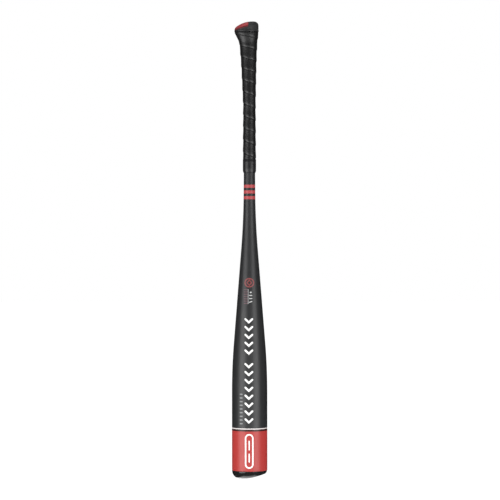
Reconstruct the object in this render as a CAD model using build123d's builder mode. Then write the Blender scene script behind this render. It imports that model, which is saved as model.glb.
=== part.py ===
from build123d import *
import math
import os

os.makedirs("parts", exist_ok=True)

# A weighted training bat, hung in its frame with the knob up: the axis is Z, the flare of the knob
# leans toward -X, and the origin is on the axis at the swing pivot, six inches below the knob's
# end. All lengths are in millimetres.

# Driving dimensions
TOTAL_LENGTH = 838.2
PIVOT_DEPTH = 152.4
BARREL_RADIUS = 32.4
BARREL_WALL = 2.9
HANDLE_RADIUS = 9.9
HANDLE_WALL = 2.2
TAPE_THICKNESS = 1.3
KNOB_FACE_RADIUS = 50.0
KNOB_FACE_SHIFT = 6.0
KNOB_EDGE_ROUND = 7.5
INLAY_THICKNESS = 1.5
INLAY_EDGE = -2.0
FACET_ANGLE = 14.95
FACET_CREASE = -11.5
CAP_DOME_RADIUS = 70.0
CAP_DOME_SHIFT = -5.0
CAP_DOME_PAST_TIP = 0.33
CAP_WALL = 3.2
CAP_SHOULDER_ROUND = 14.0
CAP_FACET_ROUND = 2.0
WEIGHT_RADIUS = 7.3
WEIGHT_LENGTH = 130.0
SCREW_X = -16.5
SCREW_RADIUS = 1.75

# Heights along the axis
KNOB_TOP = PIVOT_DEPTH
CAP_TIP = PIVOT_DEPTH - TOTAL_LENGTH
PARTING = 135.8
TAPE_TOP = 133.6
TUBE_TOP = 131.0
MOULDING_FOOT = 20.0
TAPE_FOOT = -122.5
TUBE_MOUTH = -669.5
SPIGOT_FOOT = 118.0
CUSHION_FOOT = 112.0
WEIGHT_FOOT = CUSHION_FOOT - WEIGHT_LENGTH
STOP_FOOT = WEIGHT_FOOT - 12.0
SCREW_SEAT = 139.0
SCREW_TIP = 122.5

# The tube's taper runs straight between these heights and is rounded at each
TAPER_START = -20.0
TAPER_EASE = -150.0
TAPER_BEND = -215.0
TAPER_END = -481.4
TAPER_GROWTH = 0.6
TAPER_ROUNDS = [4000, 3000, 1450, 1122]
BORE_RADIUS = HANDLE_RADIUS - HANDLE_WALL
LIP_RADIUS = 27.1


def rounded_path(points, radii):
    """Edges of an open line through points, each inner corner rounded by its radius."""
    edges = []
    start = Vector(*points[0])
    for index, radius in enumerate(radii, 1):
        corner = Vector(*points[index])
        back = (Vector(*points[index - 1]) - corner).normalized()
        onward = (Vector(*points[index + 1]) - corner).normalized()
        half = math.radians(back.get_angle(onward)) / 2
        first = corner + back * (radius / math.tan(half))
        last = corner + onward * (radius / math.tan(half))
        middle = corner + (back + onward).normalized() * (radius / math.sin(half) - radius)
        edges.append(Edge.make_line(start, first))
        edges.append(Edge.make_three_point_arc(first, middle, last))
        start = last
    edges.append(Edge.make_line(start, Vector(*points[-1])))
    return edges


def bent(height, base, slope, bends):
    """A straight taper from height 0, with a soft change of slope at each listed height."""
    value = base + slope * height
    for bend, turn, softness in bends:
        here = height - bend
        ramp = (here + math.hypot(here, softness)) / 2
        rest = (math.hypot(bend, softness) - bend) / 2
        value += turn * (ramp - rest)
    return value


def oval(height, inset=0.0):
    """Centre, half-width in X and half-depth in Y of the gripped handle at a height."""
    base = HANDLE_RADIUS + TAPE_THICKNESS
    low_side = bent(height, base, 0.044, [(80, 0.052, 20), (115.3, 0.474, 2.5), (131.1, -0.57, 3)])
    high_side = bent(height, base, 0.0195, [(88, 0.033, 15), (116, 0.075, 8), (137, -0.1275, 3)])
    depth = bent(height, base, 0.019, [(113.5, 0.225, 5), (131.5, -0.244, 4)])
    return (high_side - low_side) / 2, (high_side + low_side) / 2 - inset, depth - inset


def oval_loft(heights, inset):
    """Solid through the oval sections at the listed heights."""
    sections = []
    for height in heights:
        centre, half_width, half_depth = oval(height, inset)
        sections.append(Pos(centre, 0, height) * Ellipse(half_width, half_depth))
    return loft(sections, ruled=True)


def disc(radius, low, high):
    """Round bar on the axis between two heights."""
    return Solid.make_cylinder(radius, high - low, Plane((0, 0, low)))


def domed_end(drop):
    """Oval column from the parting line up, its face a shallow dome, lowered by drop."""
    centre, half_width, half_depth = oval(PARTING)
    column = extrude(Pos(centre, 0, PARTING) * Ellipse(half_width, half_depth), 20)
    ball_centre = Pos(KNOB_FACE_SHIFT, 0, KNOB_TOP - KNOB_FACE_RADIUS)
    column = column & ball_centre * Sphere(KNOB_FACE_RADIUS)
    rim = column.faces().sort_by(Axis.Z)[-1].edges()
    return Pos(0, 0, -drop) * fillet(rim, KNOB_EDGE_ROUND)


# Tube: handle, taper and barrel in one piece, its mouth rolled inward to a lip
tube_outside = [
    (HANDLE_RADIUS, TUBE_TOP),
    (HANDLE_RADIUS, TAPER_START),
    (HANDLE_RADIUS + TAPER_GROWTH, TAPER_EASE),
    (HANDLE_RADIUS + 1.35, TAPER_BEND),
    (BARREL_RADIUS, TAPER_END),
    (BARREL_RADIUS, TUBE_MOUTH),
    (BARREL_RADIUS - 3, TUBE_MOUTH),
]
barrel_bore = BARREL_RADIUS - BARREL_WALL
tube_inside = [
    (BORE_RADIUS, TUBE_TOP),
    (BORE_RADIUS, TAPER_START),
    (BORE_RADIUS + TAPER_GROWTH, TAPER_EASE),
    (BORE_RADIUS + 1.3, TAPER_BEND),
    (barrel_bore, TAPER_END),
    (barrel_bore, TUBE_MOUTH + 8.5),
    (LIP_RADIUS, TUBE_MOUTH + 4.5),
    (LIP_RADIUS, TUBE_MOUTH),
    (LIP_RADIUS + 0.5, TUBE_MOUTH),
]
with BuildPart() as bat_tube:
    with BuildSketch(Plane.XZ):
        with BuildLine():
            add(rounded_path(tube_outside, TAPER_ROUNDS + [0.8]))
            add(rounded_path(tube_inside, TAPER_ROUNDS + [2.0, 2.0, 0.3]))
            Line((BORE_RADIUS, TUBE_TOP), (HANDLE_RADIUS, TUBE_TOP))
            Line((LIP_RADIUS + 0.5, TUBE_MOUTH), (BARREL_RADIUS - 3, TUBE_MOUTH))
        make_face()
    revolve(axis=Axis.Z)
bat_tube.part.label = "bat_tube"

# Handle moulding: the oval flare under the tape, with a rim that ends the tape at the top
flare_heights = list(range(int(MOULDING_FOOT), 100, 10)) + list(range(100, 133, 2)) + [TAPE_TOP]
rim_heights = [TAPE_TOP, (TAPE_TOP + PARTING) / 2, PARTING]
flare = oval_loft(flare_heights, TAPE_THICKNESS)
rim = oval_loft(rim_heights, 0)
with BuildPart() as handle_moulding:
    add(flare)
    add(rim)
    add(disc(HANDLE_RADIUS, 0, TUBE_TOP), mode=Mode.SUBTRACT)
    add(disc(BORE_RADIUS, 0, PARTING + 1), mode=Mode.SUBTRACT)
    with Locations((SCREW_X, 0, PARTING)):
        Cylinder(SCREW_RADIUS, 28, mode=Mode.SUBTRACT)
handle_moulding.part.label = "handle_moulding"

# Knob inlay: a coloured skin over the low side of the domed face, square-cut on its high side
centre, half_width, half_depth = oval(PARTING)
dome = domed_end(0)
low_side = Pos(centre, 0, PARTING) * Ellipse(half_width - 0.3, half_depth - 0.3)
cut_plan = Pos(INLAY_EDGE - 25, 0, PARTING) * RectangleRounded(50, 60, 5)
inlay_plan = extrude(low_side & cut_plan, 20)
lowered_dome = domed_end(INLAY_THICKNESS)
with BuildPart() as knob_inlay:
    add(dome)
    add(inlay_plan, mode=Mode.INTERSECT)
    add(lowered_dome, mode=Mode.SUBTRACT)
knob_inlay.part.label = "knob_inlay"

# Knob cap: the black domed end with a spigot that closes the tube's bore
with BuildPart() as knob_cap:
    add(dome)
    add(disc(BORE_RADIUS - 0.1, SPIGOT_FOOT, PARTING + 1))
    add(knob_inlay.part, mode=Mode.SUBTRACT)
    with Locations((SCREW_X, 0, PARTING)):
        Cylinder(SCREW_RADIUS + 0.05, 30, mode=Mode.SUBTRACT)
    with Locations((SCREW_X, 0, SCREW_SEAT)):
        Cylinder(3.7, 20, align=(Align.CENTER, Align.CENTER, Align.MIN), mode=Mode.SUBTRACT)
knob_cap.part.label = "knob_cap"

# Cap screw: pan head with a hexagon socket, under the inlay
with BuildPart() as cap_screw:
    with Locations((SCREW_X, 0, SCREW_SEAT)):
        Cylinder(3.5, 2.6, align=(Align.CENTER, Align.CENTER, Align.MIN))
    fillet(cap_screw.edges().sort_by(Axis.Z)[-1], 1.0)
    with Locations((SCREW_X, 0, SCREW_TIP)):
        Cylinder(SCREW_RADIUS, SCREW_SEAT - SCREW_TIP, align=(Align.CENTER, Align.CENTER, Align.MIN))
    chamfer(cap_screw.edges().sort_by(Axis.Z)[0], 0.8)
    with BuildSketch(Plane((SCREW_X, 0, SCREW_SEAT + 2.6))):
        RegularPolygon(1.25, 6)
    extrude(amount=-1.6, mode=Mode.SUBTRACT)
cap_screw.part.label = "cap_screw"

# Weight cushion: soft pad between the spigot and the slug
with BuildPart() as weight_cushion:
    add(disc(BORE_RADIUS - 0.2, CUSHION_FOOT, SPIGOT_FOOT))
    chamfer(weight_cushion.edges().filter_by(GeomType.CIRCLE), 0.6)
weight_cushion.part.label = "weight_cushion"

# Handle weight: the steel slug, with a groove near each end for a centring ring
ring_heights = (CUSHION_FOOT - 15, WEIGHT_FOOT + 15)
with BuildPart() as handle_weight:
    add(disc(WEIGHT_RADIUS, WEIGHT_FOOT, CUSHION_FOOT))
    chamfer(handle_weight.edges().filter_by(GeomType.CIRCLE), 1.0)
    for ring_height in ring_heights:
        groove = disc(WEIGHT_RADIUS + 1, ring_height - 0.7, ring_height + 0.7)
        add(groove - disc(BORE_RADIUS - 1.2, ring_height - 1, ring_height + 1), mode=Mode.SUBTRACT)
handle_weight.part.label = "handle_weight"

# Centring rings: round-section rubber rings between the slug's grooves and the bore
ring_parts = {}
for name, ring_height in zip(("weight_ring_upper", "weight_ring_lower"), ring_heights):
    with BuildPart() as weight_ring:
        with Locations((0, 0, ring_height)):
            Torus(BORE_RADIUS - 0.6, 0.6)
    weight_ring.part.label = name
    ring_parts[name] = weight_ring.part

# Weight stop: plug bonded in the bore below the slug, hollowed from below
with BuildPart() as weight_stop:
    add(disc(BORE_RADIUS, STOP_FOOT, WEIGHT_FOOT))
    add(disc(BORE_RADIUS - 2, STOP_FOOT, WEIGHT_FOOT - 4), mode=Mode.SUBTRACT)
weight_stop.part.label = "weight_stop"

# Grip tape: cushioned wrap over the moulding and the bare tube below it
tape_radius = HANDLE_RADIUS + TAPE_THICKNESS
foot_growth = TAPER_GROWTH * (TAPER_START - TAPE_FOOT) / (TAPER_START - TAPER_EASE)
wrap_outside = [(tape_radius, 0), (tape_radius, TAPER_START), (tape_radius + foot_growth, TAPE_FOOT)]
wrap_inside = [(HANDLE_RADIUS, 0), (HANDLE_RADIUS, TAPER_START), (HANDLE_RADIUS + foot_growth, TAPE_FOOT)]
wrap = oval_loft([0] + flare_heights, 0)
with BuildPart() as grip_tape:
    add(wrap)
    add(disc(HANDLE_RADIUS, 0, TAPE_TOP), mode=Mode.SUBTRACT)
    add(flare, mode=Mode.SUBTRACT)
    with BuildSketch(Plane.XZ):
        with BuildLine():
            add(rounded_path(wrap_outside, TAPER_ROUNDS[:1]))
            add(rounded_path(wrap_inside, TAPER_ROUNDS[:1]))
            Line(wrap_inside[0], wrap_outside[0])
            Line(wrap_inside[-1], wrap_outside[-1])
        make_face()
    revolve(axis=Axis.Z)
grip_tape.part.label = "grip_tape"

# Finishing tape: a thin band over the grip's lower end, dying away onto the bare tube
band_top = TAPE_FOOT + 22
tube_at_foot = HANDLE_RADIUS + foot_growth
tape_at_top = tape_radius + foot_growth * (TAPER_START - band_top) / (TAPER_START - TAPE_FOOT)
with BuildPart() as finishing_tape:
    with BuildSketch(Plane.XZ):
        with BuildLine():
            Polyline((tape_at_top, band_top), (tape_at_top + 0.25, band_top),
                     (tube_at_foot + TAPE_THICKNESS + 0.3, TAPE_FOOT + 0.6),
                     (tube_at_foot + 0.4, TAPE_FOOT - 2.6), (tube_at_foot + 0.02, TAPE_FOOT - 2.6),
                     (tube_at_foot, TAPE_FOOT), (tube_at_foot + TAPE_THICKNESS, TAPE_FOOT), close=True)
        make_face()
    revolve(axis=Axis.Z)
finishing_tape.part.label = "finishing_tape"

# End cap: domed plug with a flat slanted facet on its +X side, hollow behind, snapped over the lip
gasket = 0.6
flange_top = TUBE_MOUTH - gasket
flange_radius = BARREL_RADIUS - 0.15
skirt_radius = LIP_RADIUS - 0.1
ball_place = Pos(CAP_DOME_SHIFT, 0, CAP_TIP - CAP_DOME_PAST_TIP + CAP_DOME_RADIUS)
facet = Pos(FACET_CREASE, 0, CAP_TIP) * Rot(0, -FACET_ANGLE, 0)
below_facet = facet * Pos(0, 0, -20) * Box(200, 200, 40)
below_facet_wall = facet * Pos(0, 0, -20 + CAP_WALL) * Box(200, 200, 40)
column = disc(flange_radius, CAP_TIP - 5, flange_top + 12) & ball_place * Sphere(CAP_DOME_RADIUS)
domed = fillet(column.faces().sort_by(Axis.Z)[0].edges(), CAP_SHOULDER_ROUND)
with BuildPart() as plug:
    add(domed)
    add(disc(flange_radius + 5, flange_top, flange_top + 20), mode=Mode.SUBTRACT)
    add(below_facet, mode=Mode.SUBTRACT)
    slanted = plug.faces().filter_by(GeomType.PLANE).sort_by(Axis.Z)[0]
    fillet(slanted.edges(), CAP_FACET_ROUND)
inner_ball = ball_place * Sphere(CAP_DOME_RADIUS - CAP_WALL)
hollow = (disc(LIP_RADIUS - 3.6, CAP_TIP - 5, TUBE_MOUTH + 20) & inner_ball) - below_facet_wall
bead = [
    (skirt_radius - 2, TUBE_MOUTH + 3.9),
    (skirt_radius, TUBE_MOUTH + 4.8),
    (skirt_radius + 1.5, TUBE_MOUTH + 7.6),
    (skirt_radius + 1.5, TUBE_MOUTH + 8.8),
    (skirt_radius - 0.6, TUBE_MOUTH + 14.0),
    (skirt_radius - 2, TUBE_MOUTH + 14.0),
]
with BuildPart() as end_cap:
    add(plug.part)
    add(disc(skirt_radius, flange_top, TUBE_MOUTH + 4.8))
    with BuildSketch(Plane.XZ):
        with BuildLine():
            Polyline(*bead, close=True)
        make_face()
    revolve(axis=Axis.Z)
    add(hollow, mode=Mode.SUBTRACT)
end_cap.part.label = "end_cap"

# Gasket: dark ring pinched between the tube's lip and the end cap
with BuildPart() as cap_gasket:
    add(disc(BARREL_RADIUS - 0.5, flange_top, TUBE_MOUTH))
    add(disc(LIP_RADIUS + 0.1, flange_top, TUBE_MOUTH), mode=Mode.SUBTRACT)
cap_gasket.part.label = "cap_gasket"

# Each piece is written under its own name
pieces = [bat_tube, handle_moulding, knob_inlay, knob_cap, cap_screw, weight_cushion, handle_weight,
          weight_stop, grip_tape, finishing_tape, end_cap, cap_gasket]
for piece in [builder.part for builder in pieces] + list(ring_parts.values()):
    export_step(piece, f"parts/{piece.label}.step")
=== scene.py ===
import math

import bmesh
import bpy
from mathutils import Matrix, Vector


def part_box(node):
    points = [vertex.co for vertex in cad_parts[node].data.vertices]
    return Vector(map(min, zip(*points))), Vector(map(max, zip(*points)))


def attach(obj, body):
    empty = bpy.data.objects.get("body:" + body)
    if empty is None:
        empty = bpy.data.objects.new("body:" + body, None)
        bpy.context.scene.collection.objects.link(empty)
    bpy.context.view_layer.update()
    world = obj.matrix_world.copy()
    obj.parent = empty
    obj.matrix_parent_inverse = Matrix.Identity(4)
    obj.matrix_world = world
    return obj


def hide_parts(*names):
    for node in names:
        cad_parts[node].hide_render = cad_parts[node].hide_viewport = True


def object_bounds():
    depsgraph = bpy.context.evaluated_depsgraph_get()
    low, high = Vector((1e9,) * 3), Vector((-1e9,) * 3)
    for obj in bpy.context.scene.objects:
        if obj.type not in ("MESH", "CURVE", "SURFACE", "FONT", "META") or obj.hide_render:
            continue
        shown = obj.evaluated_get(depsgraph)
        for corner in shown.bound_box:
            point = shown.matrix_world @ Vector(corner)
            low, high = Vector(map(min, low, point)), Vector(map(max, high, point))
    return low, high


# A weighted training bat, knob up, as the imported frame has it: the axis is Z, the flare of the knob
# leans toward -X, and the camera looks along +Y. Shapes are worked out in millimetres and turned
# into metres when their mesh is made.

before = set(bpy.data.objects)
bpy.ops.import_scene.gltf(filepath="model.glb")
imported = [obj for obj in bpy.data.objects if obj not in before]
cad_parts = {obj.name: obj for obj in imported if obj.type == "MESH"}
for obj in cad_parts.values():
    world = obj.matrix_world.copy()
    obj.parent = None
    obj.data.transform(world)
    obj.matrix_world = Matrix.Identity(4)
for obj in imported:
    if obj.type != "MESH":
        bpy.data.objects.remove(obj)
cad_low, cad_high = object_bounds()
MM = 0.001


def node_heights(node):
    """Lowest and highest height of a CAD node, in millimetres."""
    low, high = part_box(node)
    return low.z / MM, high.z / MM


TUBE_MOUTH, TUBE_TOP = node_heights("bat_tube")
TAPE_FOOT, TAPE_TOP = node_heights("grip_tape")
MOULDING_FOOT, PARTING = node_heights("handle_moulding")
KNOB_TOP = node_heights("knob_cap")[1]
CAP_TIP = cad_low.z / MM
BAND_TOP = node_heights("finishing_tape")[1]

BARREL_RADIUS = 32.4
BARREL_WALL = 2.9
INLAY_FOOT, INLAY_LEAN = 142.6, 0.27
HANDLE_RADIUS = 9.9
HANDLE_WALL = 2.2
BORE_RADIUS = HANDLE_RADIUS - HANDLE_WALL
TAPE_THICKNESS = 1.3
TAPER_START = -20.0
TAPER_EASE = -150.0
TAPER_BEND = -215.0
TAPER_END = -481.4
TAPER_GROWTH = 0.6
TAPER_ROUNDS = [4000, 3000, 1450, 1122]
LIP_RADIUS = 27.1


# ---------------------------------------------------------------- meshes

def add_piece(name, points, faces, material, slot=None, replaces=(), sharp=35):
    """A mesh piece from points in millimetres, cleaned, smoothed and riding on the frame."""
    mesh = bpy.data.meshes.new(name)
    mesh.from_pydata([(x * MM, y * MM, z * MM) for x, y, z in points], [], faces)
    finish_piece(name, mesh, material, replaces, sharp)


def finish_piece(name, mesh, material, replaces, sharp):
    shell = bmesh.new()
    shell.from_mesh(mesh)
    bmesh.ops.remove_doubles(shell, verts=shell.verts, dist=2e-7)
    bmesh.ops.recalc_face_normals(shell, faces=shell.faces)
    shell.to_mesh(mesh)
    shell.free()
    mesh.shade_smooth()
    mesh.set_sharp_from_angle(angle=math.radians(sharp))
    mesh.materials.append(material)
    piece = bpy.data.objects.new(name, mesh)
    bpy.context.scene.collection.objects.link(piece)
    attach(piece, "root")
    if replaces:
        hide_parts(*replaces)
    return piece


def sheet_faces(rows, columns, wrap_rows=False, wrap_columns=False):
    """Quads over a grid of points listed row by row."""
    faces = []
    for row in range(rows if wrap_rows else rows - 1):
        following = (row + 1) % rows
        for column in range(columns if wrap_columns else columns - 1):
            beside = (column + 1) % columns
            faces.append((row * columns + column, row * columns + beside,
                          following * columns + beside, following * columns + column))
    return faces


def lathe(profile, segments):
    """Points and faces of a closed (radius, height) profile turned about the axis."""
    points = []
    for radius, height in profile:
        for step in range(segments):
            turn = 2 * math.pi * step / segments
            points.append((radius * math.sin(turn), -radius * math.cos(turn), height))
    return points, sheet_faces(len(profile), segments, True, True)


def rounded(corners, radii, longest=12.0, sag=0.004):
    """Points along an open line whose inner corners are rounded, its straights divided."""
    stops = [(Vector(corners[0]),)]
    for index, radius in enumerate(radii, 1):
        corner = Vector(corners[index])
        back = (Vector(corners[index - 1]) - corner).normalized()
        onward = (Vector(corners[index + 1]) - corner).normalized()
        half = back.angle(onward) / 2
        hub = corner + (back + onward).normalized() * (radius / math.sin(half))
        spoke = corner + back * (radius / math.tan(half)) - hub
        sweep = math.pi - 2 * half
        if back.x * onward.y - back.y * onward.x > 0:
            sweep = -sweep
        parts = max(2, math.ceil(abs(sweep) / (2 * math.acos(1 - min(sag / radius, 0.02)))))
        arc = []
        for part in range(parts + 1):
            turn = sweep * part / parts
            arc.append(hub + Vector((spoke.x * math.cos(turn) - spoke.y * math.sin(turn),
                                     spoke.x * math.sin(turn) + spoke.y * math.cos(turn))))
        stops.append(arc)
    stops.append((Vector(corners[-1]),))
    line = []
    for arc in stops:
        if line:
            start = line[-1]
            parts = max(1, math.ceil((arc[0] - start).length / longest))
            line += [start.lerp(arc[0], part / parts) for part in range(1, parts)]
        line += arc
    return [(point.x, point.y) for point in line]


# ---------------------------------------------------------------- materials

# The middle range of a noise texture, where most of its values lie
NOISE_LOW, NOISE_HIGH = 0.3, 0.7


class Finish:
    """A node material around one Principled shader, textured in object space."""

    def __init__(self, name, **settings):
        self.material = bpy.data.materials.new(name)
        self.material.use_nodes = True
        self.tree = self.material.node_tree
        self.tree.nodes.clear()
        output = self.tree.nodes.new("ShaderNodeOutputMaterial")
        self.shader = self.tree.nodes.new("ShaderNodeBsdfPrincipled")
        self.tree.links.new(self.shader.outputs["BSDF"], output.inputs["Surface"])
        self.place = self.tree.nodes.new("ShaderNodeTexCoord").outputs["Object"]
        for socket, value in settings.items():
            if isinstance(value, tuple):
                value = (*value, 1.0)
            self.shader.inputs[socket.replace("_", " ")].default_value = value

    def link(self, source, node, socket):
        self.tree.links.new(source, node.inputs[socket])

    def stretched(self, x, y, z):
        """Object coordinates with each axis scaled."""
        mapping = self.tree.nodes.new("ShaderNodeMapping")
        mapping.inputs["Scale"].default_value = (x, y, z)
        self.link(self.place, mapping, "Vector")
        return mapping.outputs["Vector"]

    def noise(self, scale, detail=2.0, roughness=0.5, place=None):
        node = self.tree.nodes.new("ShaderNodeTexNoise")
        node.inputs["Scale"].default_value = scale
        node.inputs["Detail"].default_value = detail
        node.inputs["Roughness"].default_value = roughness
        self.link(place or self.place, node, "Vector")
        return node.outputs["Fac"]

    def cells(self, scale):
        node = self.tree.nodes.new("ShaderNodeTexVoronoi")
        node.inputs["Scale"].default_value = scale
        self.link(self.place, node, "Vector")
        return node.outputs["Distance"]

    def spread(self, source, low, high):
        """The source's middle range spread between two values."""
        node = self.tree.nodes.new("ShaderNodeMapRange")
        for socket, value in (("From Min", NOISE_LOW), ("From Max", NOISE_HIGH),
                              ("To Min", low), ("To Max", high)):
            node.inputs[socket].default_value = value
        self.link(source, node, "Value")
        return node.outputs["Result"]

    def height(self, lean=0.0):
        """Height, with a share of X added to it when it leans."""
        place = self.tree.nodes.new("ShaderNodeSeparateXYZ")
        self.link(self.place, place, "Vector")
        if not lean:
            return place.outputs["Z"]
        node = self.tree.nodes.new("ShaderNodeMath")
        node.operation = "MULTIPLY_ADD"
        self.link(place.outputs["X"], node, 0)
        node.inputs[1].default_value = lean
        self.link(place.outputs["Z"], node, 2)
        return node.outputs["Value"]

    def between(self, source, low, high):
        """1 where the source lies between two values, and 0 outside them."""
        node = self.tree.nodes.new("ShaderNodeMath")
        node.operation = "COMPARE"
        node.inputs[1].default_value = (low + high) / 2
        node.inputs[2].default_value = (high - low) / 2
        self.link(source, node, 0)
        return node.outputs["Value"]

    def feed(self, value, node, socket):
        """A fixed colour set on a socket, or a source linked to it."""
        if isinstance(value, tuple):
            node.inputs[socket].default_value = (*value, 1)
        else:
            self.link(value, node, socket)

    def laid_over(self, under, mask, colour):
        """A colour laid over another one where the mask is 1."""
        node = self.tree.nodes.new("ShaderNodeMix")
        node.data_type = "RGBA"
        self.link(mask, node, 0)
        self.feed(under, node, 6)
        self.feed(colour, node, 7)
        return node.outputs[2]

    def greys(self, source, low, high):
        """Greys from low to high along the source's middle range."""
        node = self.tree.nodes.new("ShaderNodeValToRGB")
        for element, position, level in zip(node.color_ramp.elements, (NOISE_LOW, NOISE_HIGH), (low, high)):
            element.position = position
            element.color = (level, level, level, 1)
        self.link(source, node, "Fac")
        return node.outputs["Color"]

    def tinted(self, colour, source, low, high):
        """A colour made darker or lighter by a texture."""
        node = self.tree.nodes.new("ShaderNodeMix")
        node.data_type, node.blend_type = "RGBA", "MULTIPLY"
        node.inputs[0].default_value = 1.0
        self.feed(colour, node, 6)
        self.link(self.greys(source, low, high), node, 7)
        return node.outputs[2]

    def colour(self, source):
        self.link(source, self.shader, "Base Color")

    def roughness(self, source):
        self.link(source, self.shader, "Roughness")

    def relief(self, *layers):
        """Bump layers. Each is a texture and its depth in metres."""
        normal = None
        for source, depth in layers:
            node = self.tree.nodes.new("ShaderNodeBump")
            node.inputs["Strength"].default_value = 1.0
            node.inputs["Distance"].default_value = depth
            self.link(source, node, "Height")
            if normal:
                self.link(normal, node, "Normal")
            normal = node.outputs["Normal"]
        self.link(normal, self.shader, "Normal")


CHARCOAL = (0.0205, 0.0210, 0.0220)
RED = (0.385, 0.032, 0.028)
STRIPE_RED = (0.38, 0.052, 0.056)
MAROON = (0.035, 0.008, 0.008)
WHITE = (0.70, 0.65, 0.64)

RED_TOP, MAROON_TOP, WHITE_TOP = -596.5, -592.8, -591.1
STRIPE_HALF = 2.85

# Paint zones up the tube: the heights where each begins and ends, over charcoal
paint_zones = [(TUBE_MOUTH - 1, RED_TOP, RED), (RED_TOP, MAROON_TOP, MAROON), (MAROON_TOP, WHITE_TOP, WHITE)]
for stripe in (-149.7, -160.1, -170.6):
    paint_zones.append((stripe - STRIPE_HALF, stripe + STRIPE_HALF, STRIPE_RED))


def tube_paint():
    finish = Finish("tube_paint", IOR=1.5, Specular_IOR_Level=0.5)
    height = finish.height()
    zones = CHARCOAL
    for low, high, colour in paint_zones:
        zones = finish.laid_over(zones, finish.between(height, low * MM, high * MM), colour)
    fleck = finish.noise(2600, 1)
    finish.colour(finish.tinted(zones, fleck, 0.90, 1.10))
    finish.roughness(finish.spread(finish.noise(55, 4, 0.6), 0.33, 0.41))
    orange_peel = finish.noise(420, 1)
    finish.relief((orange_peel, 0.00002), (fleck, 0.000004))
    return finish.material


def grip_rubber():
    finish = Finish("grip_rubber", IOR=1.56)
    grain = finish.cells(1500)
    wear = finish.noise(38, 3)
    finish.colour(finish.tinted((0.0105, 0.0105, 0.0108), wear, 0.85, 1.2))
    finish.roughness(finish.spread(wear, 0.30, 0.38))
    finish.relief((finish.noise(260, 2), 0.00006), (grain, 0.00005))
    return finish.material


def band_vinyl():
    finish = Finish("band_vinyl", IOR=1.5)
    drawn = finish.noise(90, 3, 0.6, finish.stretched(1, 1, 5))
    finish.colour(finish.tinted((0.014, 0.014, 0.015), drawn, 0.85, 1.15))
    finish.roughness(finish.spread(drawn, 0.26, 0.36))
    finish.relief((drawn, 0.00008), (finish.noise(1800, 1), 0.000006))
    return finish.material


def moulded_black(name, low_roughness, high_roughness, colour=(0.012, 0.012, 0.013)):
    """Black moulded plastic with a spark-eroded grain and faint flow marks."""
    finish = Finish(name, IOR=1.5)
    flow = finish.noise(45, 3)
    finish.colour(finish.tinted(colour, flow, 0.85, 1.15))
    finish.roughness(finish.spread(flow, low_roughness, high_roughness))
    finish.relief((finish.cells(2600), 0.000012), (finish.noise(300, 1), 0.00001))
    return finish.material


def inlay_red():
    """Red plastic, with painted shade: a darker band along its leaning lower edge stands in for the shade
    there.
    """
    finish = Finish("inlay_red", IOR=1.5)
    cloud = finish.noise(60, 2)
    # Painted shade: the colour is darkened along the inlay's lower edge, where the knob's side turns away
    # from the light.
    painted_shade_band = finish.between(finish.height(-INLAY_LEAN), (INLAY_FOOT - 2) * MM, (INLAY_FOOT + 2.4) * MM)
    red_with_painted_shade = finish.laid_over((0.32, 0.055, 0.060), painted_shade_band, (0.11, 0.022, 0.024))
    finish.colour(finish.tinted(red_with_painted_shade, cloud, 0.92, 1.08))
    finish.roughness(finish.spread(cloud, 0.24, 0.34))
    finish.relief((finish.noise(500, 1), 0.00001))
    return finish.material


def print_ink(name, colour):
    """Screen-printed ink: slightly uneven in cover, with a fine matt grain."""
    finish = Finish(name, IOR=1.45)
    cover = finish.noise(700, 3)
    finish.colour(finish.tinted(colour, cover, 0.93, 1.04))
    finish.roughness(finish.spread(cover, 0.37, 0.48))
    finish.relief((finish.noise(3200, 1), 0.000006))
    return finish.material


def turned_steel():
    finish = Finish("turned_steel", Metallic=1.0)
    rings = finish.noise(140, 3, 0.6, finish.stretched(1, 1, 14))
    finish.colour(finish.tinted((0.52, 0.52, 0.53), rings, 0.88, 1.08))
    finish.roughness(finish.spread(rings, 0.25, 0.4))
    finish.relief((rings, 0.00001))
    return finish.material


def black_elastomer():
    finish = Finish("black_elastomer", IOR=1.5)
    bloom = finish.noise(300, 3)
    finish.colour(finish.tinted((0.012, 0.012, 0.012), bloom, 0.8, 1.3))
    finish.roughness(finish.spread(bloom, 0.55, 0.7))
    finish.relief((finish.cells(3000), 0.00001))
    return finish.material


# ---------------------------------------------------------------- tube

tube_outside = rounded(
    [(HANDLE_RADIUS, TUBE_TOP), (HANDLE_RADIUS, TAPER_START), (HANDLE_RADIUS + TAPER_GROWTH, TAPER_EASE),
     (HANDLE_RADIUS + 1.35, TAPER_BEND), (BARREL_RADIUS, TAPER_END),
     (BARREL_RADIUS, TUBE_MOUTH), (BARREL_RADIUS - 3, TUBE_MOUTH)],
    TAPER_ROUNDS + [0.8])
barrel_bore = BARREL_RADIUS - BARREL_WALL
tube_inside = rounded(
    [(BORE_RADIUS, TUBE_TOP), (BORE_RADIUS, TAPER_START), (BORE_RADIUS + TAPER_GROWTH, TAPER_EASE),
     (BORE_RADIUS + 1.3, TAPER_BEND), (barrel_bore, TAPER_END),
     (barrel_bore, TUBE_MOUTH + 8.5), (LIP_RADIUS, TUBE_MOUTH + 4.5),
     (LIP_RADIUS, TUBE_MOUTH), (LIP_RADIUS + 0.5, TUBE_MOUTH)],
    TAPER_ROUNDS + [2.0, 2.0, 0.3])
add_piece("tube_shell", *lathe(tube_outside + tube_inside[::-1], 160), tube_paint(),
          slot="tube", replaces=["bat_tube"])


def tube_radius(height):
    """Outside radius of the tube at a height."""
    for (radius, above), (next_radius, below) in zip(tube_outside, tube_outside[1:]):
        if below <= height <= above:
            share = (above - height) / (above - below) if above > below else 0
            return radius + (next_radius - radius) * share
    return BARREL_RADIUS


# ---------------------------------------------------------------- handle

def bent(height, base, slope, bends):
    """A straight taper from height 0, with a soft change of slope at each listed height."""
    value = base + slope * height
    for bend, turn, softness in bends:
        here = height - bend
        ramp = (here + math.hypot(here, softness)) / 2
        rest = (math.hypot(bend, softness) - bend) / 2
        value += turn * (ramp - rest)
    return value


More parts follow.
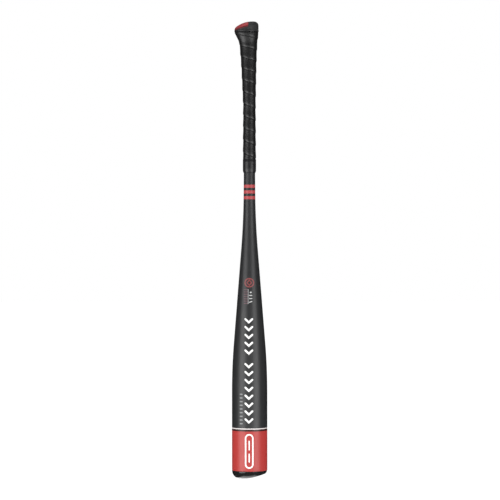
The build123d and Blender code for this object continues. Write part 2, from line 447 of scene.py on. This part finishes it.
def oval(height):
    """Centre, half-width in X and half-depth in Y of the gripped handle at a height."""
    base = HANDLE_RADIUS + TAPE_THICKNESS
    if height < 0:
        radius = base + TAPER_GROWTH * max(0, TAPER_START - height) / (TAPER_START - TAPER_EASE)
        return 0, radius, radius
    low_side = bent(height, base, 0.044, [(80, 0.052, 20), (115.3, 0.474, 2.5), (131.1, -0.57, 3)])
    high_side = bent(height, base, 0.0195, [(88, 0.033, 15), (116, 0.075, 8), (137, -0.1275, 3)])
    depth = bent(height, base, 0.019, [(113.5, 0.225, 5), (131.5, -0.244, 4)])
    return (high_side - low_side) / 2, (high_side + low_side) / 2, depth


def oval_ring(height, proud, segments):
    """Points round the handle at a height, standing proud of the gripped shape."""
    centre, half_width, half_depth = oval(height)
    ring = []
    for step in range(segments):
        turn = 2 * math.pi * step / segments
        ring.append((centre + (half_width + proud) * math.sin(turn),
                     -(half_depth + proud) * math.cos(turn), height))
    return ring


def round_ring(radius, height, segments):
    return [(radius * math.sin(2 * math.pi * step / segments),
             -radius * math.cos(2 * math.pi * step / segments), height) for step in range(segments)]


def build_moulding():
    """The flare under the tape, with a bead at its rim that ends the tape."""
    segments = 128
    rings = []
    height = MOULDING_FOOT
    while height < TAPE_TOP:
        rings.append(oval_ring(height, -TAPE_THICKNESS, segments))
        height += 6 if height < 100 else 2
    rings.append(oval_ring(TAPE_TOP, -TAPE_THICKNESS, segments))
    rings.append(oval_ring(TAPE_TOP, -0.25, segments))
    bead = (PARTING - TAPE_TOP) / 2
    for step in range(9):
        turn = math.pi * step / 8
        height = TAPE_TOP + bead - bead * math.cos(turn)
        rings.append(oval_ring(height, -0.1 + 0.75 * math.sin(turn), segments))
    rings.append(oval_ring(PARTING, -0.7, segments))
    rings.append(round_ring(BORE_RADIUS, PARTING, segments))
    rings.append(round_ring(BORE_RADIUS, TUBE_TOP, segments))
    rings.append(round_ring(HANDLE_RADIUS, TUBE_TOP, segments))
    rings.append(round_ring(HANDLE_RADIUS, MOULDING_FOOT, segments))
    points = [point for ring in rings for point in ring]
    faces = sheet_faces(len(rings), segments, True, True)
    plastic = moulded_black("moulding_plastic", 0.20, 0.27, (0.022, 0.022, 0.023))
    add_piece("flare_moulding", points, faces, plastic, slot="moulding", replaces=["handle_moulding"])


build_moulding()

# Cushioned wrap: a helix whose upper turns lap over the turns below, hand-laid and a little wider
# toward the barrel. Turn 0 crosses SEAM_ANGLE at SEAM_START.
SEAM_START = 105.5
SEAM_PITCH = 20.5
SEAM_WIDENING = 0.155
SEAM_ANGLE = math.radians(-28.7)
FIRST_TURN, LAST_TURN = -2.5, 11.5
WRAP_STEPS = 84
WRAP_THICKNESS = 0.9
# How far the strip stands proud across its width, from its lapped edge up to the next seam
LAP_PROFILE = [(0.0, -0.32), (0.15, -0.12), (0.5, 0.08), (1.0, 0.27), (1.7, 0.44), (2.5, 0.56), (3.4, 0.61),
               (4.6, 0.59), (6.2, 0.51), (8.2, 0.39), (10.5, 0.26), (13.0, 0.14), (15.8, 0.04), (18.4, 0.0),
               (19.0, 0.0), (19.6, 0.0), (20.3, -0.06), (SEAM_PITCH, -0.22)]


def seam_height(turn):
    return SEAM_START - SEAM_PITCH * turn - SEAM_WIDENING * turn * turn


def build_wrap():
    points = []
    steps = int((LAST_TURN - FIRST_TURN) * WRAP_STEPS)
    for step in range(steps + 1):
        turn = FIRST_TURN + step / WRAP_STEPS
        angle = SEAM_ANGLE + 2 * math.pi * turn
        seam, seam_above = seam_height(turn), seam_height(turn - 1)
        wide = (seam_above - seam) / SEAM_PITCH
        for across, proud in LAP_PROFILE:
            height = seam + across * wide
            # The lap is held down where the band covers it, and fades out toward the rim
            held = min(1, max(0.3, 0.3 + 0.7 * (height - BAND_TOP) / 3))
            held *= min(1, max(0, (TAPE_TOP + 0.3 - height) / 4))
            centre, half_width, half_depth = oval(height)
            points.append((centre + (half_width + proud * held) * math.sin(angle),
                           -(half_depth + proud * held) * math.cos(angle), height))
    faces = sheet_faces(steps + 1, len(LAP_PROFILE))
    mesh = bpy.data.meshes.new("grip_wrap")
    mesh.from_pydata([(x * MM, y * MM, z * MM) for x, y, z in points], [], faces)
    shell = bmesh.new()
    shell.from_mesh(mesh)
    bmesh.ops.remove_doubles(shell, verts=shell.verts, dist=2e-6)
    for height, side in ((TAPE_TOP, 1), (TAPE_FOOT, -1)):
        parts = list(shell.verts) + list(shell.edges) + list(shell.faces)
        bmesh.ops.bisect_plane(shell, geom=parts, plane_co=(0, 0, height * MM),
                               plane_no=(0, 0, side), clear_outer=True)
    bmesh.ops.recalc_face_normals(shell, faces=shell.faces)
    shell.to_mesh(mesh)
    shell.free()
    wrap = finish_piece("grip_wrap", mesh, grip_rubber(), ["grip_tape"], 50)
    solid = wrap.modifiers.new("thickness", "SOLIDIFY")
    solid.thickness = WRAP_THICKNESS * MM
    solid.offset = -1.0


build_wrap()

# Finishing tape: thin, one and a half turns, its end stepping down at the back
tube_at_foot = tube_radius(TAPE_FOOT)
band_profile = [
    (oval(BAND_TOP)[1] - 0.3, BAND_TOP), (oval(BAND_TOP)[1] + 0.42, BAND_TOP),
    (oval(BAND_TOP)[1] + 0.50, BAND_TOP - 0.15), (oval(-106)[1] + 0.42, -106),
    (oval(-112)[1] + 0.45, -112), (oval(-117)[1] + 0.40, -117),
    (tube_at_foot + TAPE_THICKNESS + 0.34, TAPE_FOOT + 1.4),
    (tube_at_foot + TAPE_THICKNESS + 0.05, TAPE_FOOT + 0.2),
    (tube_at_foot + 0.9, TAPE_FOOT - 1.2), (tube_at_foot + 0.4, TAPE_FOOT - 2.3),
    (tube_at_foot + 0.2, TAPE_FOOT - 2.6), (tube_at_foot + 0.02, TAPE_FOOT - 2.6),
    (tube_at_foot + 0.02, TAPE_FOOT - 0.1), (tube_at_foot + 0.9, TAPE_FOOT - 0.05),
]


def build_band():
    segments = 128
    end_turn = math.radians(205)
    rows = []
    for radius, height in band_profile:
        row = []
        for step in range(segments + 1):
            share = step / segments
            turn = end_turn + 2 * math.pi * share
            lap = 0.14 * share if radius > tube_at_foot + 0.1 else 0
            row.append(((radius + lap) * math.sin(turn), -(radius + lap) * math.cos(turn), height))
        rows.append(row)
    points = [point for row in rows for point in row]
    columns = segments + 1
    faces = sheet_faces(len(rows), columns, True, False)
    faces += [(row * columns + segments, ((row + 1) % len(rows)) * columns + segments,
               ((row + 1) % len(rows)) * columns, row * columns) for row in range(len(rows))]
    add_piece("finishing_band", points, faces, band_vinyl(), slot="grip_band", replaces=["finishing_tape"])


build_band()

# ---------------------------------------------------------------- knob

KNOB_SPHERE = 50.0
KNOB_ROUND = 7.5
KNOB_SHIFT = 6
knob_centre = Vector((KNOB_SHIFT, 0, KNOB_TOP - KNOB_SPHERE))
INLAY_EDGE = -2.0


def knob_surface(angle, climb):
    """Point and outward direction on the knob's end. Climb below 0 is down the wall in
    millimetres, 0 to 1 is round the edge, and 1 to 2 is over the dome."""
    centre, half_width, half_depth = oval(PARTING)
    wall = Vector((centre + half_width * math.cos(angle), half_depth * math.sin(angle), 0))
    out = Vector((math.cos(angle) / half_width, math.sin(angle) / half_depth, 0)).normalized()
    hub = wall - out * KNOB_ROUND
    aside = (hub.x - knob_centre.x) ** 2 + hub.y ** 2
    hub.z = knob_centre.z + math.sqrt((KNOB_SPHERE - KNOB_ROUND) ** 2 - aside)
    if climb <= 0:
        return Vector((wall.x, wall.y, hub.z + climb)), out
    ray = (hub - knob_centre).normalized()
    if climb <= 1:
        facing = out.slerp(ray, climb)
        return hub + facing * KNOB_ROUND, facing
    facing = ray.slerp(Vector((0, 0, 1)), min(climb - 1, 0.9999))
    return knob_centre + facing * KNOB_SPHERE, facing


def solve(low, high, function):
    """The value between low and high where a rising function crosses zero."""
    for _ in range(34):
        middle = (low + high) / 2
        if function(middle) > 0:
            high = middle
        else:
            low = middle
    return (low + high) / 2


def knob_point_at(x, climb):
    """Point and outward direction on the knob's end at an X and a climb."""
    return knob_surface(solve(0, math.pi, lambda turn: x - knob_surface(turn, climb)[0].x), climb)


def inlay_foot(x):
    """Height of the inlay's lower edge, which climbs toward its high side."""
    return INLAY_FOOT + INLAY_LEAN * x


def build_inlay():
    """A coloured skin over the low side of the knob's end, square-cut on its high side."""
    left = solve(-3, 1, lambda climb: knob_surface(math.pi, climb)[0].z - inlay_foot(-26.5))
    left = knob_surface(math.pi, left)[0].x
    stations = [left + 0.02 + (INLAY_EDGE - 0.25 - left - 0.02) * (1 - math.cos(math.pi / 2 * step / 30))
                for step in range(31)]
    stations.append(INLAY_EDGE)
    crossings = [step / 24 for step in range(1, 24)] + [0.985, 1.0]
    rows = []
    for index, station in enumerate(stations):
        top = solve(-3, 2, lambda climb: knob_surface(math.pi, climb)[0].x - station)
        foot = solve(-3, top, lambda climb: knob_point_at(station, climb)[0].z - inlay_foot(station))
        half = [knob_surface(math.pi, top)]
        for place in crossings:
            half.append(knob_point_at(station, top - (top - foot) * place ** 2))
        proud = [0.15] * (len(half) - 1) + [0.05]
        if index == len(stations) - 1:
            proud = [0.05] * len(half)
        outer = [point + facing * lift for (point, facing), lift in zip(half, proud)]
        inner = [point - facing * 0.35 for point, facing in half]
        mirror = [Vector((point.x, -point.y, point.z)) for point in outer]
        inner_mirror = [Vector((point.x, -point.y, point.z)) for point in inner]
        rows.append(outer[::-1] + mirror[1:] + inner_mirror[::-1] + inner[1:])
    columns = len(rows[0])
    points = [tuple(point) for row in rows for point in row]
    faces = sheet_faces(len(rows), columns, False, True)
    half_loop = columns // 2
    for end in (0, (len(rows) - 1) * columns):
        for column in range(half_loop - 1):
            faces.append((end + column, end + column + 1,
                          end + columns - 2 - column, end + columns - 1 - column))
    add_piece("inlay_skin", points, faces, inlay_red(), slot="inlay", replaces=["knob_inlay"], sharp=50)


build_inlay()

# ---------------------------------------------------------------- end cap

CAP_DOME = 70.0
CAP_ROUND = 14.0
CAP_SHIFT = -5
CAP_DOME_PAST_TIP = 0.33
cap_centre = Vector((CAP_SHIFT, 0, CAP_TIP - CAP_DOME_PAST_TIP + CAP_DOME))
FLANGE_TOP = TUBE_MOUTH - 0.6
FLANGE_RADIUS = BARREL_RADIUS - 0.15
FLANGE_INSET = 0.992
CAP_WALL = 3.2
CREASE_X = -11.5
FACET_SLOPE = math.tan(math.radians(14.95))
FACET_BLEND = 0.5


def facet_over(x, y, height):
    """Point of the dome where the slanted facet cuts it, blended at the facet's edge."""
    facet = CAP_TIP + FACET_SLOPE * (x - CREASE_X)
    share = min(1, max(0, 0.5 + 0.5 * (facet - height) / FACET_BLEND))
    return x, y, height + (facet - height) * share + FACET_BLEND * share * (1 - share)


def cap_surface(angle, climb):
    """Point on the cap's end. Climb below 0 is up the wall in millimetres, 0 to 1 is round the
    shoulder, and 1 to 2 is over the dome to its lowest point."""
    out = Vector((math.cos(angle), math.sin(angle), 0))
    hub = out * (FLANGE_RADIUS - CAP_ROUND)
    aside = (hub.x - cap_centre.x) ** 2 + hub.y ** 2
    hub.z = cap_centre.z - math.sqrt((CAP_DOME - CAP_ROUND) ** 2 - aside)
    if climb <= 0:
        return out * FLANGE_RADIUS + Vector((0, 0, hub.z - climb))
    ray = (hub - cap_centre).normalized()
    if climb <= 1:
        return hub + out.slerp(ray, climb) * CAP_ROUND
    return cap_centre + ray.slerp(Vector((0, 0, -1)), min(climb - 1, 0.9999)) * CAP_DOME


def build_end_cap():
    segments = 192
    turns = [2 * math.pi * step / segments for step in range(segments)]
    starts = [solve(-5, 1, lambda climb: FLANGE_TOP - 0.25 - cap_surface(turn, climb).z) for turn in turns]
    rows = []
    for step in range(17):
        rows.append([cap_surface(turn, max(start, 0) * (1 - step / 16) + step / 16)
                     for turn, start in zip(turns, starts)])
    rows.insert(0, [cap_surface(turn, start) for turn, start in zip(turns, starts)])
    for step in range(1, 49):
        rows.append([cap_surface(turn, 1 + step / 48) for turn in turns])
    rows = [[facet_over(*point) for point in row] for row in rows]
    rims = [[(x * FLANGE_INSET, y * FLANGE_INSET, FLANGE_TOP) for x, y, _ in rows[0]]]
    skirt = LIP_RADIUS - 0.1
    for radius, height in [(skirt, FLANGE_TOP), (skirt, TUBE_MOUTH + 4.8), (skirt + 1.5, TUBE_MOUTH + 7.6),
                           (skirt + 1.5, TUBE_MOUTH + 8.8), (skirt - 0.6, TUBE_MOUTH + 14.0),
                           (LIP_RADIUS - 3.6, TUBE_MOUTH + 14.0)]:
        rims.append([(radius * math.cos(turn), radius * math.sin(turn), height) for turn in turns])
    for step in range(12):
        radius = (LIP_RADIUS - 3.6) * (1 - step / 11)
        row = []
        for turn in turns:
            x, y = radius * math.cos(turn), radius * math.sin(turn)
            hollow = math.sqrt((CAP_DOME - CAP_WALL) ** 2 - (x - cap_centre.x) ** 2 - y ** 2)
            x, y, z = facet_over(x, y, cap_centre.z - hollow - CAP_WALL)
            row.append((x, y, z + CAP_WALL))
        rims.append(row)
    rows = rows[::-1] + rims
    points = [point for row in rows for point in row]
    faces = sheet_faces(len(rows), segments, False, True)
    plastic = moulded_black("cap_plastic", 0.11, 0.15, (0.010, 0.010, 0.010))
    add_piece("domed_cap", points, faces, plastic, slot="end_cap", replaces=["end_cap"])


build_end_cap()

# ---------------------------------------------------------------- printed marks

PRINT_LIFT = 0.10
PRINT_ROOT = -0.06
# Across a stroke, in half-widths, and off the tube: its face, then its root
STROKE_SECTION = ((-1, PRINT_LIFT), (0, PRINT_LIFT), (1, PRINT_LIFT), (1, PRINT_ROOT), (-1, PRINT_ROOT))
EYE_HEIGHT = -266.5
EYE_DISTANCE = 4000.0


def drawn_line(corners, closed=False, longest=1.2):
    """Corners of a line in (distance round the front, height), divided into short runs."""
    line = []
    turns = corners + corners[:1] if closed else corners
    for (u0, z0), (u1, z1) in zip(turns, turns[1:]):
        parts = max(1, math.ceil(math.hypot(u1 - u0, z1 - z0) / longest))
        line += [(u0 + (u1 - u0) * part / parts, z0 + (z1 - z0) * part / parts) for part in range(parts)]
    if not closed:
        line.append(corners[-1])
    return line


def stroke_solid(line, width, closed=False):
    """Points and faces of a printed stroke that lies on the tube, with rounded ends."""
    count = len(line)
    half = width / 2
    stations = []
    for index, (u, z) in enumerate(line):
        before = line[index - 1] if index or closed else line[0]
        after = line[(index + 1) % count] if index < count - 1 or closed else line[-1]
        into = Vector((u - before[0], z - before[1]))
        away = Vector((after[0] - u, after[1] - z))
        into = into.normalized() if into.length > 0 else away.normalized()
        away = away.normalized() if away.length > 0 else into
        along = (into + away).normalized()
        reach = half / max(0.35, along.dot(into))
        stations.append((Vector((u, z)), along, reach))
    if not closed:
        first, last = stations[0], stations[-1]
        head = [(first[0] - first[1] * half * math.sin(a), first[1], half * math.cos(a))
                for a in (1.45, 1.15, 0.8, 0.4)]
        tail = [(last[0] + last[1] * half * math.sin(a), last[1], half * math.cos(a))
                for a in (0.4, 0.8, 1.15, 1.45)]
        stations = head + stations + tail
    points = []
    for place, along, reach in stations:
        side = Vector((-along.y, along.x))
        for across, lift in STROKE_SECTION:
            spot = place + side * reach * across
            radius = tube_radius(spot.y)
            turn = spot.x / radius
            points.append(((radius + lift) * math.sin(turn), -(radius + lift) * math.cos(turn), spot.y))
    faces = sheet_faces(len(stations), 5, closed, True)
    if not closed:
        faces.append((0, 1, 2, 3, 4))
        end = len(points) - 5
        faces.append((end + 4, end + 3, end + 2, end + 1, end))
    return points, faces


def print_strokes(name, strokes, material):
    """One piece from several strokes. Each is a line, its width and whether it closes."""
    points, faces = [], []
    for line, width, closed in strokes:
        more_points, more_faces = stroke_solid(line, width, closed)
        faces += [tuple(corner + len(points) for corner in face) for face in more_faces]
        points += more_points
    add_piece(name, points, faces, material, slot="tube", sharp=60)


def stadium(centre_u, top, foot, half_width, parts=12):
    """A long loop with round ends."""
    loop = []
    for middle, start in ((top - half_width, 0.0), (foot + half_width, math.pi)):
        for step in range(parts + 1):
            turn = start + math.pi * step / parts
            loop.append((centre_u + half_width * math.cos(turn), middle + half_width * math.sin(turn)))
    return loop


def lowered(corners):
    """Corners whose heights were taken level with the axis, put where the near side shows them."""
    placed = []
    for u, z in corners:
        placed.append((u, EYE_HEIGHT + (z - EYE_HEIGHT) * (1 - tube_radius(z) / EYE_DISTANCE)))
    return placed


white_ink = print_ink("ink_white", (0.80, 0.80, 0.79))
grey_ink = print_ink("ink_grey", (0.20, 0.205, 0.21))
pale_ink = print_ink("ink_pale", (0.50, 0.50, 0.50))
red_ink = print_ink("ink_red", (0.24, 0.055, 0.055))
faint_ink = print_ink("ink_faint_red", (0.10, 0.055, 0.065))

# Chevrons down the barrel, in a group of five and a group of eight. Known fault: the runs of a
# stroke are shorter than its inner corner needs, so each elbow folds over itself there.
CHEVRON_U = -1.4
CHEVRON_REACH, CHEVRON_RISE = 6.3, 2.9
chevron_heights = [-396.0 - 14.34 * step for step in range(5)] + [-478.2 - 14.47 * step for step in range(8)]
chevrons = []
for middle in chevron_heights:
    top, tip = middle + CHEVRON_RISE, middle - CHEVRON_RISE
    arms = lowered([(CHEVRON_U - CHEVRON_REACH, top), (CHEVRON_U, tip), (CHEVRON_U + CHEVRON_REACH, top)])
    chevrons.append((drawn_line(arms), 3.5, False))
print_strokes("print_chevrons", chevrons, white_ink)

# A short scale of grey ticks on the left
ticks = []
for step in range(9):
    middle = -531.0 - 6.75 * step
    ticks.append((drawn_line(lowered([(-17.9, middle), (-14.3, middle)])), 2.4, False))
print_strokes("print_grey_ticks", ticks, grey_ink)

# Badge: a ring with a diamond, and two columns of small marks under it
ring = [(-0.4 + 8.2 * math.cos(2 * math.pi * step / 48), -326.3 + 7.6 * math.sin(2 * math.pi * step / 48))
        for step in range(48)]
diamond = drawn_line(lowered([(-0.4, -321.6), (3.8, -326.3), (-0.4, -331.0), (-4.6, -326.3)]), closed=True)
print_strokes("print_badge", [(lowered(ring), 2.0, True), (diamond, 1.7, True)], red_ink)
marks = [(drawn_line(lowered([(-10.2, middle), (-4.0, middle)])), 2.0, False)
         for middle in (-339.0, -343.2, -347.4, -351.6, -355.8, -360.0, -364.2)]
print_strokes("print_faint_marks", marks, faint_ink)
marks = [(drawn_line(lowered([(-2.6, -338.2), (-2.6, -365.2)])), 0.7, False),
         (drawn_line(lowered([(1.6, -343.9), (2.6, -343.9)])), 2.6, False)]
for middle, slant in ((-349.5, 0), (-355.3, 0), (-361.4, 0.8)):
    marks.append((drawn_line(lowered([(-0.2, middle - slant), (4.2, middle + slant)])), 1.7, False))
print_strokes("print_small_marks", marks, pale_ink)

# Long loop with bars on the coloured band
BAND_U = -0.85
band_strokes = [(lowered(stadium(BAND_U, -605.0, -666.0, 6.6)), 2.7, True)]
band_strokes.append((drawn_line(lowered([(BAND_U, -617.0), (BAND_U, -632.5)])), 2.3, False))
band_strokes.append((drawn_line(lowered([(BAND_U, -640.5), (BAND_U, -655.0)])), 2.3, False))
print_strokes("print_band_loop", band_strokes, white_ink)

# ---------------------------------------------------------------- carried-over CAD nodes

steel = turned_steel()
elastomer = black_elastomer()
knob_plastic = moulded_black("knob_plastic", 0.30, 0.40, (0.030, 0.031, 0.031))
for node, finish in (("knob_cap", knob_plastic), ("cap_screw", steel), ("handle_weight", steel),
                     ("weight_cushion", elastomer), ("weight_ring_upper", elastomer),
                     ("weight_ring_lower", elastomer), ("cap_gasket", elastomer),
                     ("weight_stop", knob_plastic)):
    for material_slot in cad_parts[node].material_slots:
        material_slot.material = finish

# ---------------------------------------------------------------- floor, light, camera

floor_mesh = bpy.data.meshes.new("floor")
REACH, FLOOR = 60.0, -1.8
corners = ((-REACH, -REACH), (REACH, -REACH), (REACH, REACH), (-REACH, REACH))
floor_mesh.from_pydata([(x, y, FLOOR) for x, y in corners], [], [(0, 1, 2, 3)])
floor = bpy.data.objects.new("floor", floor_mesh)
bpy.context.scene.collection.objects.link(floor)
floor_finish = Finish("floor_paper", Roughness=0.9)
floor_finish.colour(floor_finish.tinted((0.95, 0.95, 0.95), floor_finish.noise(3, 2), 0.99, 1.0))
floor_mesh.materials.append(floor_finish.material)
floor.visible_glossy = False

world = bpy.data.worlds.new("white_studio")
bpy.context.scene.world = world
world.use_nodes = True
background = world.node_tree.nodes["Background"]
background.inputs["Color"].default_value = (1, 1, 1, 1)
background.inputs["Strength"].default_value = 1.0
world.cycles_visibility.diffuse = False
world.cycles_visibility.glossy = False


def softbox(name, azimuth, elevation, distance, width, height, radiance, aim):
    """A rectangular light round the object. Azimuth is from the camera's side, positive toward +X."""
    a, e = math.radians(azimuth), math.radians(elevation)
    outward = Vector((math.sin(a) * math.cos(e), -math.cos(a) * math.cos(e), math.sin(e)))
    data = bpy.data.lights.new(name, "AREA")
    data.shape = "RECTANGLE"
    data.size, data.size_y = width, height
    data.energy = radiance * math.pi * width * height
    light = bpy.data.objects.new(name, data)
    bpy.context.scene.collection.objects.link(light)
    light.location = aim + outward * distance
    light.rotation_mode = "QUATERNION"
    light.rotation_quaternion = outward.to_track_quat("Z", "Y")
    light.visible_camera = False


LOW = Vector((0, 0, -0.70))
softbox("box_left", -50, 0, 1.5, 1.2, 1.40, 3.3, LOW)
softbox("box_right", 43, 0, 1.5, 1.0, 1.40, 3.1, LOW)
softbox("fill_front", 0, 0, 2.2, 1.6, 1.2, 0.85, Vector((0, 0, -0.90)))
softbox("card_below", 0, -90, 0.8, 0.8, 3.1, 2.2, Vector((0, 1.4, -0.7)))

sun_data = bpy.data.lights.new("top_light", "SUN")
sun_data.energy = 3.9
sun_data.angle = math.radians(60)
sun = bpy.data.objects.new("top_light", sun_data)
bpy.context.scene.collection.objects.link(sun)
sun.location = (0, 0, 2)
sun.visible_glossy = False

camera_data = bpy.data.cameras.new("camera")
camera_data.sensor_width = 36.0
camera_data.lens = 157.12
camera_data.clip_start, camera_data.clip_end = 0.1, 200
camera = bpy.data.objects.new("camera", camera_data)
bpy.context.scene.collection.objects.link(camera)
camera.location = (0.0009, -4.0, -0.2663)
camera.rotation_euler = (math.radians(90), math.radians(0.05), 0)
bpy.context.scene.camera = camera
bpy.context.scene.view_settings.view_transform = "Standard"
